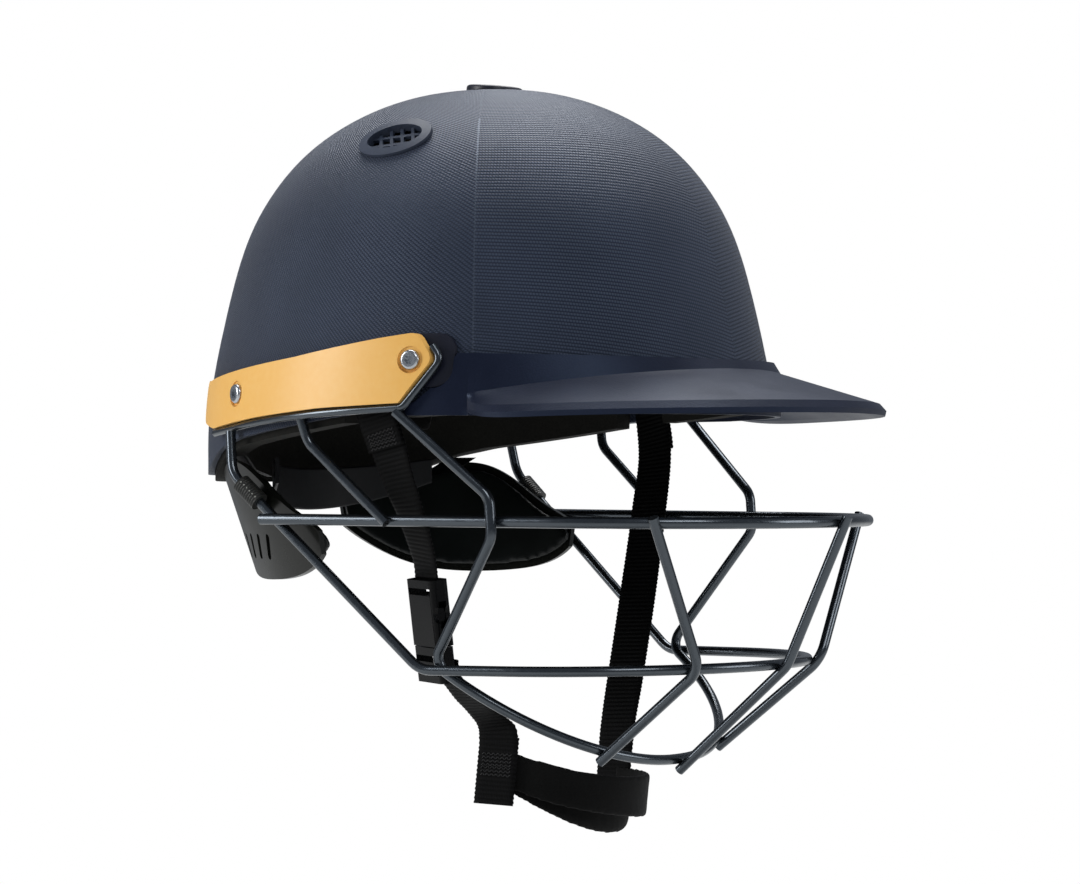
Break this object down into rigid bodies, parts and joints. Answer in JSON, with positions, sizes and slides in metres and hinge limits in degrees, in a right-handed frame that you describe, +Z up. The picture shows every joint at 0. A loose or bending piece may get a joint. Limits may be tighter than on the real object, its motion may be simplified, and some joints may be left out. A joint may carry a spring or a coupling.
{
  "type": "cricket helmet",
  "caption": "Open-bottomed batting helmet with a peak, a welded wire face guard, hinged neck guards and a buckled chin strap with a cup.",
  "frame": {"origin": "middle plane of the helmet at the level of the shell's side rim, where it sits on the head", "axes": "+Z up, -Y is the way the wearer faces, +X is the wearer's left"},
  "size_m": [0.2386, 0.3356, 0.3424],
  "materials": {
    "shell_cloth": "woven cloth over moulded shell",
    "peak_skin": "fine grained",
    "navy_plastic": "satin",
    "plate_yellow": "satin",
    "zinc_steel": "zinc plated",
    "guard_steel": "gloss gunmetal",
    "liner_foam": "moulded foam",
    "fleece": "brushed",
    "guard_polymer": "satin",
    "guard_foam": "brushed",
    "webbing": "ribbed weave",
    "buckle_nylon": "satin",
    "cup_skin": "soft matt"
  },
  "bodies": {
    "shell": {"outer_shell": "shell_cloth", "peak": "peak_skin", "crown_button": "navy_plastic", "front_spacer_right": "navy_plastic", "front_spacer_left": "navy_plastic", "rear_spacers": "navy_plastic", "vent_grille_right": "navy_plastic", "vent_grille_left": "navy_plastic", "side_plate_right": "plate_yellow", "side_plate_left": "plate_yellow", "plate_screws": "zinc_steel", "shell_nuts": "zinc_steel", "anchor_rivets": "zinc_steel", "guard_lugs": "guard_steel", "plate_wire_right": "guard_steel", "plate_wire_left": "guard_steel", "main_bar": "guard_steel", "lower_wire": "guard_steel", "chin_wire": "guard_steel", "side_wire_right": "guard_steel", "side_wire_left": "guard_steel", "front_wire_centre": "guard_steel", "front_wire_right": "guard_steel", "front_wire_left": "guard_steel", "impact_liner": "liner_foam", "side_pad_right": "fleece", "side_pad_left": "fleece", "crown_pad": "fleece", "brow_pad": "fleece", "nape_pad": "fleece", "nape_cradle": "guard_polymer", "cradle_hanger_right": "guard_polymer", "cradle_hanger_left": "guard_polymer"},
    "neck_guard_right": {"neck_guard_right": "guard_polymer", "guard_lining_right": "guard_foam", "guard_clip_right": "guard_polymer"},
    "neck_guard_left": {"neck_guard_left": "guard_polymer", "guard_lining_left": "guard_foam", "guard_clip_left": "guard_polymer"},
    "chin_strap": {"strap_right_upper": "webbing", "strap_right_end": "webbing", "strap_left": "webbing", "strap_left_end": "webbing", "buckle_socket": "buckle_nylon", "chin_cup": "cup_skin", "chin_sling": "cup_skin", "strap_patch_right": "webbing", "strap_right_lower": "webbing"},
    "buckle_plug": {"buckle_plug": "buckle_nylon"},
    "prong_front": {"buckle_prong_front": "buckle_nylon"},
    "prong_rear": {"buckle_prong_rear": "buckle_nylon"}
  },
  "joints": [
    {"name": "neck_guard_right_hinge", "type": "hinge", "parent": "shell", "child": "neck_guard_right", "pos_m": [-0.10495, 0.05212, -0.03342], "axis": [0.0805, -0.7589, -0.6462], "range_deg": [-15, 0]},
    {"name": "neck_guard_left_hinge", "type": "hinge", "parent": "shell", "child": "neck_guard_left", "pos_m": [0.10495, 0.05212, -0.03342], "axis": [-0.0805, -0.7589, -0.6462], "range_deg": [0, 15]},
    {"name": "chin_strap_swing", "type": "hinge", "parent": "shell", "child": "chin_strap", "pos_m": [0, -0.02, 0.01], "axis": [1, 0, 0], "range_deg": [0, 20]},
    {"name": "buckle_release", "type": "slide", "parent": "chin_strap", "child": "buckle_plug", "axis": [0.1307, -0.0348, -0.9908], "range_m": [0, 0.022], "deforming": ["strap_right_lower"]},
    {"name": "prong_front_squeeze", "type": "hinge", "parent": "buckle_plug", "child": "prong_front", "pos_m": [-0.08257, -0.03936, -0.09996], "axis": [-0.9188, 0.3712, -0.1342], "range_deg": [0, 6], "stiffness_Nm_per_rad": 0.3},
    {"name": "prong_rear_squeeze", "type": "hinge", "parent": "buckle_plug", "child": "prong_rear", "pos_m": [-0.07669, -0.0247, -0.0997], "axis": [0.9188, -0.3712, 0.1342], "range_deg": [0, 6], "stiffness_Nm_per_rad": 0.3}
  ]
}
